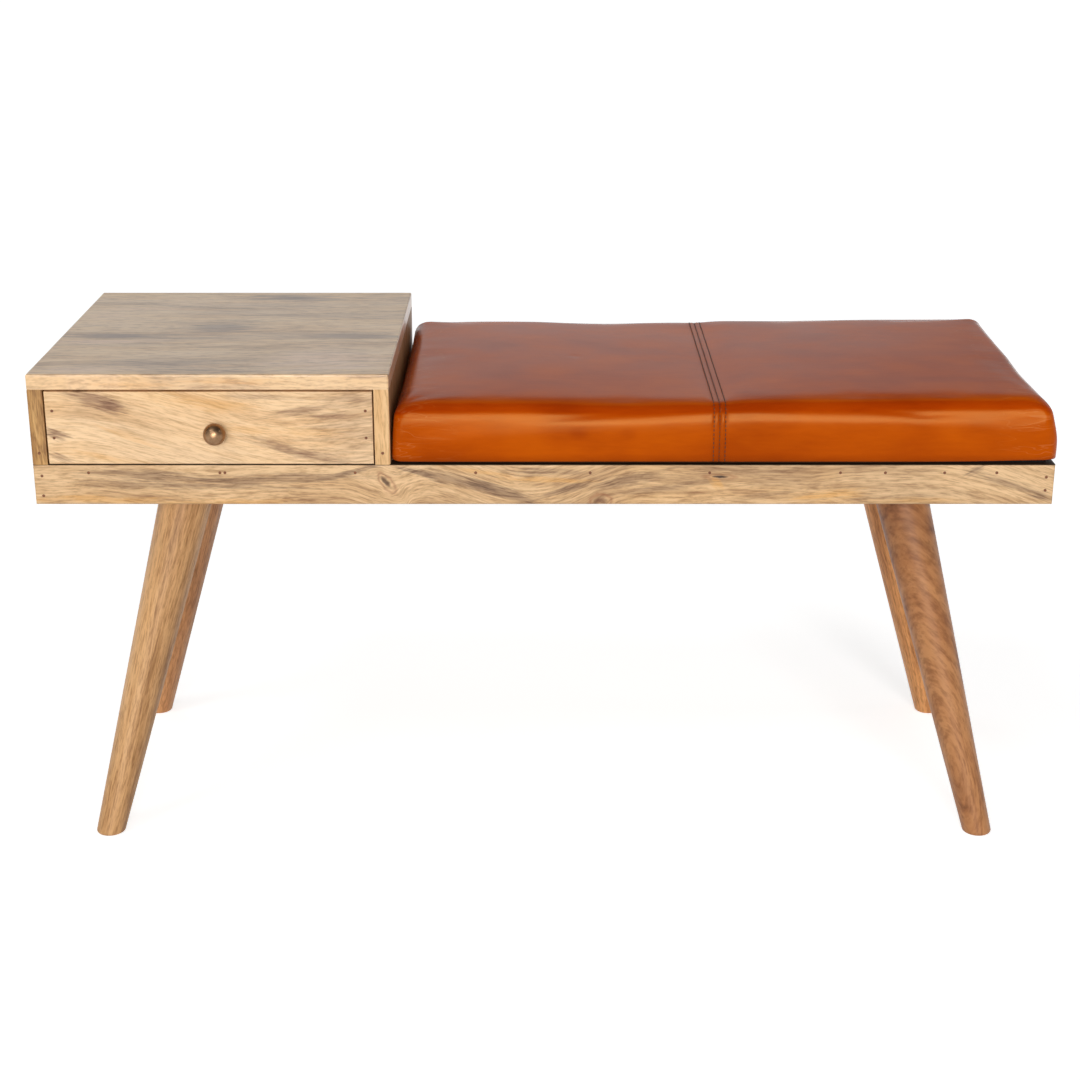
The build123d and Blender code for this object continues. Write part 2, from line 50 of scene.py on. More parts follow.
class Tree:
    """Short calls that add nodes to a node tree and give back what these put out."""

    def __init__(self, tree):
        self.tree = tree
        tree.nodes.clear()

    def node(self, kind, **settings):
        made = self.tree.nodes.new(kind)
        for key, value in settings.items():
            setattr(made, key, value)
        return made

    def put(self, socket, value):
        """Links a socket to another node's output, or sets it to a constant."""
        if isinstance(value, bpy.types.NodeSocket):
            self.tree.links.new(value, socket)
        else:
            socket.default_value = value

    def math(self, operation, a, b=0.0, c=0.0):
        made = self.node("ShaderNodeMath", operation=operation)
        for socket, value in zip(made.inputs, (a, b, c)):
            self.put(socket, value)
        return made.outputs[0]

    def weighed(self, *parts):
        """The sum of values times their weights."""
        total = 0.0
        for value, weight in parts:
            total = self.math("MULTIPLY_ADD", value, weight, total)
        return total

    def vector(self, operation, a, b=(0, 0, 0)):
        made = self.node("ShaderNodeVectorMath", operation=operation)
        self.put(made.inputs[0], a)
        self.put(made.inputs[1], b)
        return made.outputs["Value" if operation in ("LENGTH", "DOT_PRODUCT") else "Vector"]

    def scaled(self, vector, factor):
        made = self.node("ShaderNodeVectorMath", operation="SCALE")
        self.put(made.inputs[0], vector)
        self.put(made.inputs["Scale"], factor)
        return made.outputs["Vector"]

    def split(self, vector):
        made = self.node("ShaderNodeSeparateXYZ")
        self.put(made.inputs[0], vector)
        return made.outputs

    def join(self, x=0.0, y=0.0, z=0.0):
        made = self.node("ShaderNodeCombineXYZ")
        for socket, value in zip(made.inputs, (x, y, z)):
            self.put(socket, value)
        return made.outputs[0]

    def mapped(self, vector, location=(0, 0, 0), rotation=(0, 0, 0), scale=(1, 1, 1), kind="POINT"):
        made = self.node("ShaderNodeMapping", vector_type=kind)
        self.put(made.inputs["Vector"], vector)
        for key, value in (("Location", location), ("Rotation", rotation), ("Scale", scale)):
            made.inputs[key].default_value = value
        return made.outputs["Vector"]

    def from_spot(self, vector, middle, half_sizes, turn=(0, 0, 0)):
        """The way from a spot's middle, in its half sizes along its turned axes."""
        return self.mapped(vector, middle, turn, half_sizes, "TEXTURE")

    def noise(self, vector, scale, detail=3.0, rough=0.5, distortion=0.0, output="Fac"):
        made = self.node("ShaderNodeTexNoise")
        self.put(made.inputs["Vector"], vector)
        made.inputs["Scale"].default_value = scale
        made.inputs["Detail"].default_value = detail
        made.inputs["Roughness"].default_value = rough
        made.inputs["Distortion"].default_value = distortion
        return made.outputs[output]

    def fit(self, value, low, high, to_low=0.0, to_high=1.0):
        """A value taken smoothly from one range to another, and held at its ends."""
        made = self.node("ShaderNodeMapRange", interpolation_type="SMOOTHSTEP")
        self.put(made.inputs["Value"], value)
        for key, number in (("From Min", low), ("From Max", high), ("To Min", to_low), ("To Max", to_high)):
            made.inputs[key].default_value = number
        return made.outputs["Result"]

    def between(self, factor, a, b):
        """A number between two others."""
        made = self.node("ShaderNodeMix", data_type="FLOAT")
        for place, value in ((0, factor), (2, a), (3, b)):
            self.put(made.inputs[place], value)
        return made.outputs[0]

    def mix(self, factor, a, b, blend="MIX"):
        """A colour mixed from two others."""
        made = self.node("ShaderNodeMix", data_type="RGBA", blend_type=blend)
        self.put(made.inputs["Factor"], factor)
        for key, value in (("A", a), ("B", b)):
            socket = [s for s in made.inputs if s.name == key and s.type == "RGBA"][0]
            self.put(socket, (*value, 1) if isinstance(value, tuple) else value)
        return [s for s in made.outputs if s.type == "RGBA"][0]

    def ramp(self, value, stops):
        made = self.node("ShaderNodeValToRGB")
        self.put(made.inputs[0], value)
        line = made.color_ramp
        while len(line.elements) < len(stops):
            line.elements.new(0.5)
        for element, (place, colour) in zip(line.elements, stops):
            element.position = place
            element.color = (*colour, 1)
        return made.outputs["Color"]

    def bump(self, height, strength, distance, under=None):
        made = self.node("ShaderNodeBump")
        self.put(made.inputs["Height"], height)
        made.inputs["Strength"].default_value = strength
        made.inputs["Distance"].default_value = distance
        if under is not None:
            self.put(made.inputs["Normal"], under)
        return made.outputs["Normal"]


class Graph(Tree):
    """A material with one shader, and the place and the normal that its looks depend on."""

    def __init__(self, name):
        self.material = bpy.data.materials.new(name)
        self.material.use_nodes = True
        super().__init__(self.material.node_tree)
        self.shader = self.node("ShaderNodeBsdfPrincipled")
        self.put(self.node("ShaderNodeOutputMaterial").inputs[0], self.shader.outputs[0])
        spot = self.node("ShaderNodeTexCoord")
        self.place, self.normal = spot.outputs["Object"], spot.outputs["Normal"]

    def finish(self, colour, roughness, normal, **constants):
        self.put(self.shader.inputs["Base Color"], colour)
        self.put(self.shader.inputs["Roughness"], roughness)
        self.put(self.shader.inputs["Normal"], normal)
        for key, value in constants.items():
            self.shader.inputs[key.replace("_", " ")].default_value = value
        return self.material


def rgb(red, green, blue):
    """A screen colour, 0 to 255, as the linear colour that shaders take."""
    out = []
    for part in (red, green, blue):
        part /= 255
        out.append(part / 12.92 if part <= 0.04045 else ((part + 0.055) / 1.055) ** 2.4)
    return tuple(out)


# Tones of the woods, each pale, middle, dark and stain, and of their figure
PALE = (rgb(251, 214, 168), rgb(245, 205, 156), rgb(228, 184, 134), rgb(126, 84, 60))
LEFT_STILE = (rgb(236, 190, 124), rgb(212, 162, 98), rgb(168, 120, 66), rgb(124, 86, 48))
RIGHT_STILE = (rgb(244, 202, 150), rgb(234, 188, 134), rgb(208, 160, 108), rgb(142, 102, 72))
FRONT = (rgb(236, 197, 149), rgb(215, 174, 126), rgb(176, 135, 94), rgb(106, 75, 56))
TOP = (rgb(253, 217, 170), rgb(245, 206, 157), rgb(216, 177, 133), rgb(150, 121, 104))
LEG_LEFT = (rgb(222, 174, 121), rgb(202, 153, 101), rgb(168, 121, 74), rgb(122, 82, 53))
LEG_RIGHT = (rgb(190, 132, 82), rgb(167, 109, 63), rgb(128, 77, 43), rgb(90, 51, 31))
LEG_BACK_LEFT = (rgb(224, 162, 108), rgb(205, 143, 91), rgb(168, 110, 68), rgb(118, 73, 48))
LEG_BACK_RIGHT = (rgb(244, 175, 110), rgb(226, 156, 93), rgb(188, 123, 70), rgb(132, 82, 50))
PLAIN = (rgb(232, 200, 158), rgb(218, 184, 140), rgb(198, 162, 120), rgb(160, 124, 88))
HONEY = rgb(232, 172, 92)
RUST = rgb(158, 94, 56)
BLUSH = rgb(255, 219, 186)
DUSK = rgb(122, 98, 90)
GOLDEN = (1.0, 0.86, 0.58)
PORES = ((0.38, (0.66, 0.60, 0.54)), (0.53, (1, 1, 1)))

# Turns that lay the grain of a board along the first axis
ALONG_X = (0, 0, 0)
ALONG_Y = (0, 0, radians(-90))
ALONG_Z = (0, radians(90), 0)

# Painted shade on one face of a board: the way the face looks and the tint. The tops of the rails and of
# the right end are painted near black as shadow under the pad, the inner face of the case's right side is
# painted darker as shade beside the pad, and the top board's front face is painted darker and warmer than
# its top as shade.
SHADED_TOP = ((0, 0, 1), (0.06, 0.05, 0.045))
SHADED_END = ((1, 0, 0), (0.56, 0.50, 0.46))
SHADED_FRONT = ((0, -1, 0), (0.95, 0.89, 0.78))

# Features of the grain per metre, along it, across it and through it
SWAYS = (3.2, 9, 9)
BANDS = (1.9, 24, 24)
LINES = (4.5, 110, 110)
FIBRES = (38, 460, 460)
FLECKS = (95, 720, 720)
HONEYS = (2.8, 11, 11)
CLOUDS = (3.4, 17, 17)
FRONT_SHREDS = (24, 1, 300)
TOP_SHREDS = (16, 170, 1)

HALF = (0.5, 0.5, 0.5)
THROUGH = 1000
STRIP_SHIFT = (0.43, 0.37, 0.11)


def knot_swirls(g, knots):
    """The place drawn in round the knots, and how strongly their rings and cores show."""
    place, rings, cores = g.place, 0.0, 0.0
    for x, z, wide, high, slope, ring, core in knots:
        middle = (x, 0, z)
        wobble = g.vector("SUBTRACT", g.noise(g.place, 70, 3, output="Color"), HALF)
        near = g.from_spot(g.place, middle, (wide, THROUGH, high), (0, radians(slope), 0))
        reach = g.vector("LENGTH", g.vector("ADD", near, g.vector("MULTIPLY", wobble, (1.1, 0, 1.1))))
        pull = g.vector("MULTIPLY", g.vector("SUBTRACT", g.place, middle), (0.25, 0, 0.75))
        place = g.vector("SUBTRACT", place, g.scaled(pull, g.fit(reach, 2.4, 0.2)))
        lines = g.math("MULTIPLY_ADD", g.math("SINE", g.math("MULTIPLY", reach, 9)), 0.5, 0.5)
        rings = g.math("MAXIMUM", rings, g.math("MULTIPLY", lines, g.fit(reach, 1.5, 0.7, 0.0, ring)))
        cores = g.math("MAXIMUM", cores, g.fit(reach, 0.6, 0.15, 0.0, core))
    return place, rings, cores


def flowing(g, place, flow):
    """The place lifted by smooth rises along a board, so that the grain follows them."""
    shift, along = 0.0, g.split(place)["X"]
    for middle, wide, rise in flow:
        reach = g.math("ABSOLUTE", g.math("SUBTRACT", along, middle))
        shift = g.math("ADD", shift, g.fit(reach, 0.0, wide, rise, 0.0))
    return g.vector("ADD", place, g.join(z=shift))


def glued_strips(g, place, strips):
    """The place with other grain behind each glue joint, and where the joints' lines show."""
    lines, depth = 0.0, g.split(g.place)["Y"]
    for joint in strips:
        behind = g.math("GREATER_THAN", depth, joint)
        place = g.vector("ADD", place, g.scaled(STRIP_SHIFT, behind))
        apart = g.math("ABSOLUTE", g.math("SUBTRACT", depth, joint))
        lines = g.math("MAXIMUM", lines, g.fit(apart, 0.7 * MM, 0.2 * MM))
    return place, lines


def grain_place(g, place, turn, offset, sway, rings, squash):
    """The place along the grain, swaying slowly, and across the rings where these are given."""
    along = g.mapped(place, (0, 0, 0), turn)
    slow = g.noise(g.mapped(along, offset, (0, 0, 0), SWAYS), 1.0, 2, output="Color")
    slow = g.vector("SUBTRACT", slow, HALF)
    along = g.vector("ADD", along, g.vector("MULTIPLY", slow, (0.0, sway, sway)))
    if rings:
        heart, slant = rings
        parts = g.split(along)
        radius = g.vector("LENGTH", g.from_spot(along, heart, (1 / slant, 1, 1)))
        along = g.join(parts["X"], radius, g.math("MULTIPLY", parts["Y"], 0.2))
    return g.vector("ADD", g.vector("MULTIPLY", along, squash), offset)


def ragged_spot(g, near, shred, strength=1.0):
    """How strongly a spot shows, from the way to its middle, with an edge that noise makes ragged."""
    reach = g.math("MULTIPLY_ADD", g.math("SUBTRACT", shred, 0.5), 2.6, g.vector("LENGTH", near))
    return g.fit(reach, 1.15, 0.2, 0.0, strength)


def front_spots(g, colour, fibre, spots):
    """Figure on the front: tint, X, Z, half sizes, slope in degrees and strength of each spot."""
    for tint, x, z, wide, high, slope, strength in spots:
        slope = radians(slope)
        turned = g.mapped(g.place, (0, 0, 0), (0, -slope, 0))
        shred = g.noise(g.mapped(turned, (x * 9, 0, z * 9), scale=FRONT_SHREDS), 1.0, 4, 0.65)
        near = g.from_spot(g.place, (x, 0, z), (wide, THROUGH, high), (0, slope, 0))
        spot = g.math("MULTIPLY", ragged_spot(g, near, shred), g.fit(fibre, 0.35, 0.6, 1.0, 0.7))
        colour = g.mix(g.math("MULTIPLY", spot, strength), colour, tint)
    return colour


def top_spots(g, colour, spots):
    """Figure on the top: tint, X, Y, half sizes and strength of each spot."""
    for tint, x, y, wide, deep, strength in spots:
        shred = g.noise(g.mapped(g.place, (x * 9, y * 9, 0), scale=TOP_SHREDS), 1.0, 4, 0.65)
        near = g.from_spot(g.place, (x, y, 0), (wide, deep, THROUGH))
        colour = g.mix(ragged_spot(g, near, shred, strength), colour, tint)
    return colour


# Wood. The offset picks a place in the tree. Streak is how strong its stained clouds are, gold its
# golden ones. Rings give the heart of the tree near the board and its slant to the face, flow bends
# the grain along the board's length, and strips are the joints of a board glued up across its
# depth. Marks are dark figure, honeys golden figure and knots swirls that the grain runs round, all
# on the front. Patches lie on the top. Fine is how strong the pores are.
def wood(
    name, turn, tones, offset, *, streak=0.45, gold=0.3, rings=None, flow=(), marks=(), honeys=(), knots=(),
    strips=(), patches=(), sway=0.04, squash=(1, 1, 1), fine=0.9, rough=0.44, gloss=0.45, coat=0.0, face=None
):
    g = Graph(name)
    pale, middle, dark, stain = tones
    place, knot_rings, knot_cores = knot_swirls(g, knots)
    if flow:
        place = flowing(g, place, flow)
    if strips:
        place, joints = glued_strips(g, place, strips)
    along = grain_place(g, place, turn, offset, sway, rings, squash)
    band = g.noise(g.mapped(along, scale=BANDS), 1.0, 4, 0.6, 0.3)
    line = g.noise(g.mapped(along, scale=LINES), 1.0, 4, 0.68, 0.25)
    fibre = g.noise(g.mapped(along, scale=FIBRES), 1.0, 3, 0.6)
    fleck = g.noise(g.mapped(along, scale=FLECKS), 1.0, 2, 0.6)
    grain = g.weighed((band, 0.42), (line, 0.38), (fibre, 0.20))
    colour = g.ramp(grain, ((0.39, dark), (0.475, middle), (0.56, pale)))
    honey = g.noise(g.mapped(along, (3, 1, 7), scale=HONEYS), 1.0, 3, 0.6, 0.5)
    colour = g.mix(g.fit(honey, 0.50, 0.70, 0.0, gold), colour, GOLDEN, "MULTIPLY")
    cloud = g.noise(g.mapped(along, (5, 2, 1), scale=CLOUDS), 1.0, 4, 0.62, 0.6)
    cloud = g.math("MULTIPLY", g.fit(cloud, 0.47, 0.68), g.fit(grain, 0.62, 0.42, 0.25, 1.0))
    colour = g.mix(g.math("MULTIPLY", cloud, streak), colour, stain)
    spots = [(HONEY, *spot) for spot in honeys] + [(stain, *spot) for spot in marks]
    colour = top_spots(g, front_spots(g, colour, fibre, spots), patches)
    if knots:
        colour = g.mix(knot_rings, colour, RUST)
        colour = g.mix(knot_cores, colour, tuple(c * 0.3 for c in stain))
    if strips:
        colour = g.mix(g.math("MULTIPLY", joints, 0.4), colour, stain)
    # Painted shade: the face that looks the given way is darkened by the tint.
    if face:
        way, tint = face
        facing = g.vector("DOT_PRODUCT", g.normal, way)
        colour = g.mix(g.fit(facing, 0.5, 0.9), colour, tint, "MULTIPLY")
    colour = g.mix(fine, colour, g.ramp(g.weighed((fibre, 0.5), (fleck, 0.5)), PORES), "MULTIPLY")
    normal = g.bump(g.weighed((fibre, 0.6), (fleck, 0.4)), 0.30, 0.5 * MM)
    roughness = g.fit(line, 0.3, 0.7, rough + 0.07, rough - 0.05)
    return g.finish(
        colour, roughness, normal, Specular_IOR_Level=gloss, Coat_Weight=coat, Coat_Roughness=0.3
    )


# Figure of the boards. Each row has X, the height over a level, half sizes and slope, and then the
# strength, or for a knot the strengths of its rings and its core.
def at_level(level, rows):
    return [(x, level + rise, *rest) for x, rise, *rest in rows]


deck_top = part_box("base_front_rail")[1][2]
case_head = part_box("case_top")[1][2]

rail_marks = at_level(deck_top, (
    (-0.430, -0.012, 0.10, 0.008, 3, 0.75),
    (-0.400, -0.023, 0.15, 0.006, 1, 0.55),
    (-0.290, -0.016, 0.12, 0.007, -2, 0.65),
    (-0.200, -0.006, 0.05, 0.004, -14, 0.7),
    (-0.135, -0.010, 0.04, 0.004, 16, 0.8),
    (-0.085, -0.020, 0.07, 0.008, 14, 0.75),
    (-0.045, -0.031, 0.05, 0.008, 16, 0.75),
    (-0.005, -0.008, 0.05, 0.005, 0, 0.6),
    (0.030, -0.025, 0.04, 0.006, -18, 0.65),
    (0.085, -0.018, 0.06, 0.008, -12, 0.6),
    (0.135, -0.026, 0.06, 0.005, -7, 0.5),
    (0.250, -0.032, 0.05, 0.004, -8, 0.35),
    (0.465, -0.005, 0.014, 0.005, -30, 0.7),
    (0.400, -0.036, 0.06, 0.004, -3, 0.35),
    (0.500, -0.020, 0.05, 0.007, 15, 0.5),
    (0.525, -0.030, 0.04, 0.004, 17, 0.5),
    (0.537, -0.037, 0.018, 0.003, 15, 0.9),
))
rail_honeys = at_level(deck_top, (
    (-0.470, -0.039, 0.09, 0.005, 1, 0.6),
    (-0.330, -0.042, 0.08, 0.004, 0, 0.5),
    (-0.060, -0.009, 0.05, 0.003, 8, 0.5),
    (0.000, -0.017, 0.06, 0.003, 2, 0.6),
    (0.185, -0.020, 0.010, 0.006, 50, 0.6),
    (0.310, -0.034, 0.045, 0.006, -5, 0.7),
    (0.400, -0.040, 0.05, 0.004, 0, 0.4),
))
rail_knots = at_level(deck_top, (
    (-0.169, -0.021, 0.017, 0.007, 50, 0.55, 0.75),
    (0.061, -0.041, 0.014, 0.009, 0, 0.55, 0.5),
    (0.1895, -0.0137, 0.019, 0.0030, 1, 0.5, 1.0),
))
drawer_marks = at_level(deck_top, (
    (-0.485, 0.073, 0.030, 0.009, 10, 0.9),
    (-0.463, 0.067, 0.020, 0.011, 15, 1.0),
    (-0.522, 0.034, 0.016, 0.006, 18, 0.85),
    (-0.520, 0.009, 0.020, 0.006, 24, 0.8),
    (-0.300, 0.076, 0.060, 0.004, 2, 0.5),
    (-0.262, 0.060, 0.055, 0.005, -9, 0.6),
    (-0.225, 0.054, 0.035, 0.004, 4, 0.55),
    (-0.290, 0.022, 0.040, 0.006, 18, 0.6),
    (-0.245, 0.010, 0.050, 0.006, 11, 0.65),
    (-0.203, 0.042, 0.060, 0.060, 0, 0.42),
    (-0.205, 0.074, 0.040, 0.006, 2, 0.45),
))
drawer_honeys = at_level(deck_top, (
    (-0.355, 0.068, 0.045, 0.010, 8, 0.55),
    (-0.320, 0.040, 0.030, 0.008, 0, 0.35),
    (-0.250, 0.036, 0.060, 0.007, 3, 0.35),
    (-0.440, 0.030, 0.040, 0.006, 20, 0.35),
    (-0.470, 0.008, 0.050, 0.004, 10, 0.4),
))
top_honeys = at_level(case_head, (
    (-0.335, -0.008, 0.060, 0.004, 1, 0.6),
    (-0.440, -0.011, 0.050, 0.003, 0, 0.4),
))

# Figure of the top board: tint, X, Y, half sizes and strength
top_patches = (
    (BLUSH, -0.234, -0.120, 0.080, 0.060, 0.95),
    (BLUSH, -0.491, -0.168, 0.060, 0.018, 0.65),
    (BLUSH, -0.495, -0.040, 0.075, 0.011, 0.95),
    (BLUSH, -0.483, 0.122, 0.075, 0.006, 0.7),
    (BLUSH, -0.522, 0.084, 0.040, 0.024, 0.4),
    (DUSK, -0.401, -0.131, 0.100, 0.030, 0.2),
    (DUSK, -0.490, -0.013, 0.070, 0.014, 0.7),
    (DUSK, -0.365, 0.032, 0.060, 0.030, 0.65),
    (DUSK, -0.215, -0.015, 0.075, 0.020, 0.6),
    (DUSK, -0.312, 0.182, 0.075, 0.022, 0.8),
)
top_strips = (-0.041, 0.113)

# Rises of the grain along a board: X of the middle, half width and height
rail_flow = ((-0.02, 0.13, 0.030), (0.62, 0.20, 0.055), (-0.169, 0.05, 0.012))
drawer_flow = ((-0.25, 0.27, 0.055),)


def leg_turn(node):
    """The turn that lays a leg's axis along the first axis, from its foot and its head."""
    low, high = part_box(node)
    close = 0.2 * MM
    points = [v.co for v in nodes[node].data.vertices]
    foot = [p for p in points if p.z < low[2] + close]
    head = [p for p in points if p.z > high[2] - close]
    axis = sum(head, Vector()) / len(head) - sum(foot, Vector()) / len(foot)
    return tuple(axis.rotation_difference(Vector((1, 0, 0))).to_euler())


def leg_wood(node, tones, offset, streak, slant=None):
    """A leg's wood. With a slant, its heart lies near the front of the leg, below half way up."""
    ahead, down = 16 * MM, 130 * MM
    turn = leg_turn(node)
    rings = None
    if slant:
        heart = Vector([(a + b) / 2 for a, b in zip(*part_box(node))]) - Vector((0, ahead, 0))
        heart.rotate(Euler(turn))
        rings = ((heart.x - down, heart.y, heart.z), slant)
    return wood("wood_" + node, turn, tones, offset, streak=streak, gold=0.25, rings=rings, sway=0.015)


woods = {
    # The tops of the rails and of the right end below get painted shadow under the pad.
    "base_front_rail": wood(
        "wood_front_rail", ALONG_X, FRONT, (0.3, 0.1, 0.7), streak=0.35, gold=0.4, flow=rail_flow,
        marks=rail_marks, honeys=rail_honeys, knots=rail_knots, fine=0.8, face=SHADED_TOP
    ),
    "base_back_rail": wood(
        "wood_back_rail", ALONG_X, FRONT, (2.3, 1.1, 0.2), streak=0.6, gold=0.4, face=SHADED_TOP
    ),
    "base_left_end": wood("wood_left_end", ALONG_Y, FRONT, (4.3, 0.4, 1.7), streak=0.5),
    "base_right_end": wood("wood_right_end", ALONG_Y, FRONT, (5.1, 0.9, 1.1), streak=0.5, face=SHADED_TOP),
    # The top board's front face gets painted shade, darker and warmer than its top.
    "case_top": wood(
        "wood_case_top", ALONG_X, TOP, (1.3, 2.1, 0.5), streak=0.6, gold=0.25, honeys=top_honeys,
        strips=top_strips, patches=top_patches, sway=0.05, squash=(0.8, 0.6, 0.6), rough=0.34, gloss=1.0,
        coat=0.6, face=SHADED_FRONT
    ),
    "case_left_side": wood("wood_case_left", ALONG_Z, LEFT_STILE, (3.3, 1.4, 2.2), streak=0.5, gold=0.4),
    # The inner face of the case's right side gets painted shade beside the pad.
    "case_right_side": wood(
        "wood_case_right", ALONG_Z, RIGHT_STILE, (2.6, 0.3, 1.9), streak=0.3, gold=0.2, fine=0.7, gloss=0.1,
        face=SHADED_END
    ),
    "drawer_front": wood(
        "wood_drawer_front", ALONG_X, PALE, (0.9, 2.7, 1.2), streak=0.3, gold=0.35, flow=drawer_flow,
        marks=drawer_marks, honeys=drawer_honeys, sway=0.03, fine=0.6
    ),
    "leg_front_left": leg_wood("leg_front_left", LEG_LEFT, (0.2, 0.5, 0.9), 0.3),
    "leg_back_left": leg_wood("leg_back_left", LEG_BACK_LEFT, (1.2, 0.1, 0.4), 0.4),
    "leg_front_right": leg_wood("leg_front_right", LEG_RIGHT, (2.2, 0.7, 0.6), 0.55, 0.17),
    "leg_back_right": leg_wood("leg_back_right", LEG_BACK_RIGHT, (3.2, 0.3, 0.1), 0.4),
    "case_dowels": wood("wood_dowels", ALONG_Z, PLAIN, (8.0, 0.0, 1.0), streak=0.1, rough=0.6),
}
plain_x = wood("wood_plain_x", ALONG_X, PLAIN, (6.0, 1.0, 2.0), streak=0.2, rough=0.6)
plain_y = wood("wood_plain_y", ALONG_Y, PLAIN, (7.0, 2.0, 3.0), streak=0.2, rough=0.6)
for node in ("base_deck", "seat_board", "case_back", "drawer_back", "drawer_bottom"):
    woods[node] = plain_x
for node in ("leg_rail_left", "leg_rail_right", "drawer_left_side", "drawer_right_side", "drawer_stops"):
    woods[node] = plain_y


def metal(name, light, dark, rough, fine):
    g = Graph(name)
    wide = g.noise(g.place, 90, 4, 0.6)
    close = g.noise(g.place, fine, 3, 0.6)
    colour = g.ramp(g.weighed((wide, 0.7), (close, 0.3)), ((0.30, dark), (0.68, light)))
    roughness = g.fit(wide, 0.3, 0.7, rough - 0.06, rough + 0.10)
    return g.finish(colour, roughness, g.bump(close, 0.12, 0.2 * MM), Metallic=1.0)


def filler():
    g = Graph("pin_filler")
    grain = g.noise(g.place, 700, 3, 0.6)
    colour = g.ramp(grain, ((0.3, rgb(98, 54, 34)), (0.7, rgb(146, 92, 62))))
    return g.finish(colour, g.fit(grain, 0.3, 0.7, 0.6, 0.8), g.bump(grain, 0.3, 0.3 * MM))


def felt():
    g = Graph("black_felt")
    fuzz = g.noise(g.place, 900, 4, 0.7)
    colour = g.ramp(fuzz, ((0.3, rgb(14, 13, 13)), (0.7, rgb(38, 36, 35))))
    roughness = g.fit(fuzz, 0.3, 0.7, 0.9, 1.0)
    return g.finish(colour, roughness, g.bump(fuzz, 0.5, 0.6 * MM), Specular_IOR_Level=0.1)


steel = metal("zinc_steel", rgb(200, 200, 204), rgb(160, 160, 166), 0.38, 1400)
pins = filler()
looks = {
    **woods,
    "frame_pins": pins,
    "drawer_pins": pins,
    "leg_bolts": steel,
    "leg_nuts": steel,
    "leg_rail_screws": steel,
    "seat_screws": steel,
    "knob_screw": steel,
    "drawer_knob": metal("aged_brass", rgb(174, 138, 104), rgb(110, 82, 58), 0.30, 900),
    "seat_felt": felt(),
}
for node, material in looks.items():
    nodes[node].data.materials.clear()
    nodes[node].data.materials.append(material)

# Seat pad: a grid over all six faces of a box, shaped to rounded edges and bellied sides. It
# stands a little proud of its solids, close to the case at one end and over the rail at the other.
left_low, left_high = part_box("seat_cover_left")
right_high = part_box("seat_cover_right")[1]
seam = left_high[0]
x_low, x_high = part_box("case_right_side")[1][0] + 0.6 * MM, right_high[0] + 1.4 * MM
y_low, y_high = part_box("base_front_rail")[0][1] - 0.3 * MM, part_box("base_back_rail")[1][1]
length, depth = x_high - x_low, y_high - y_low
y_middle = (y_low + y_high) / 2
foot = left_low[2]
crown = 4 * MM
rim = left_high[2] - foot - crown
stitch_off = 6.2

# Its rounded edges at the top and the foot, and how far in under it the foot is eased
top_round, foot_round, tuck = 17 * MM, 1.5 * MM, 30 * MM
# Its rounded corners, and how much more they bend at the top, in front and behind
corner, front_bend, back_bend = 12 * MM, 10 * MM, -3 * MM
# The long curve of its front: two depths below the rim, and how far in it leans between them
soft_from, soft_to, soft_reach = 11 * MM, 40 * MM, 3.91 * MM
# How far its front edge hangs and, at the right, lifts, and how deep and how high this reaches
hang, lift, hang_deep, hang_high = 1.7 * MM, 2.0 * MM, 8 * MM, 30 * MM
# How far its sides belly out, lean in towards the top and are drawn in along their middles
side_belly, front_belly, side_lean = 1.0 * MM, 0.6 * MM, 2.2 * MM
left_draw, right_draw, face_draw = 2 * MM, 4.5 * MM, 0.8 * MM
# How far its right end is pulled in at the top of its front, and stands out at its foot
front_pull, foot_out = 5.0 * MM, 1.4 * MM
# How full it is: the left panel's rise and dip, the right panel's step at the seam and rise
left_rise, left_dip, right_step, right_rise = 0.8 * MM, 2.0 * MM, 1.4 * MM, 3.4 * MM
# How deep and how wide, in millimetres, the seam and the stitched lines sink
seam_sink, seam_wide, stitch_sink, stitch_wide = 0.9, 1.4, 0.5, 1.1


def spread(low, high, low_steps, high_steps, pitch=11 * MM):
    """Grid places from low to high: given steps (mm) near both ends, an even pitch between."""
    places = [low + s * MM for s in low_steps]
    tail = [high - s * MM for s in reversed(high_steps)]
    gap = tail[0] - places[-1]
    count = max(1, round(gap / pitch))
    places += [places[-1] + gap * (i + 1) / count for i in range(count - 1)]
    return places + tail


edge_steps = (0, 2, 4, 6.5, 9.5, 13, 17, 22, 28)
seam_steps = (0, 0.7, 1.5, 2.6, 4.0, 5.4, stitch_off, 7.0, 8.6, 11, 15, 21)
xs = spread(x_low, seam, edge_steps, seam_steps) + spread(seam, x_high, seam_steps, edge_steps)[1:]
ys = spread(y_low, y_high, edge_steps, edge_steps)
zs = [s * MM for s in (0, 0.6, 1.5, 4, 9, 16, 24, 32)]
zs += [rim - s * MM for s in (21, 17, 13, 9.5, 6.5, 4, 2, 0)]


def smooth(value):
    value = min(1.0, max(0.0, value))
    return value * value * (3 - 2 * value)


def edge_inset(distance):
    """How far in from the outline a top point lies, rolled over the rounded edge."""
    if distance >= top_round:
        return distance
    return top_round * (1 - sin(radians(45) * (top_round - distance) / top_round))


def rolled(x, y, z):
    """How far in from both outlines a point of the box lies on the rounded edges, and its height."""
    off_x, off_y = min(x - x_low, x_high - x), min(y - y_low, y_high - y)
    if z >= rim - TINY:
        turn = radians(45) * max(0.0, top_round - min(off_x, off_y)) / top_round
        return edge_inset(off_x), edge_inset(off_y), rim - top_round * (1 - cos(turn))
    if z <= TINY:
        insets = [off + foot_round * max(0.0, 1 - off / tuck) for off in (off_x, off_y)]
        return *insets, z
    below = rim - z
    turn = radians(45) * (1 + min(1.0, below / top_round))
    wall = top_round * (1 - sin(turn))
    if z < foot_round:
        wall = foot_round * (1 - cos(radians(90) * (1 - z / foot_round)))
    insets = [wall if off < TINY else max(edge_inset(off), wall) for off in (off_x, off_y)]
    height = rim - top_round * (1 - cos(turn)) if below < top_round else z
    return *insets, height


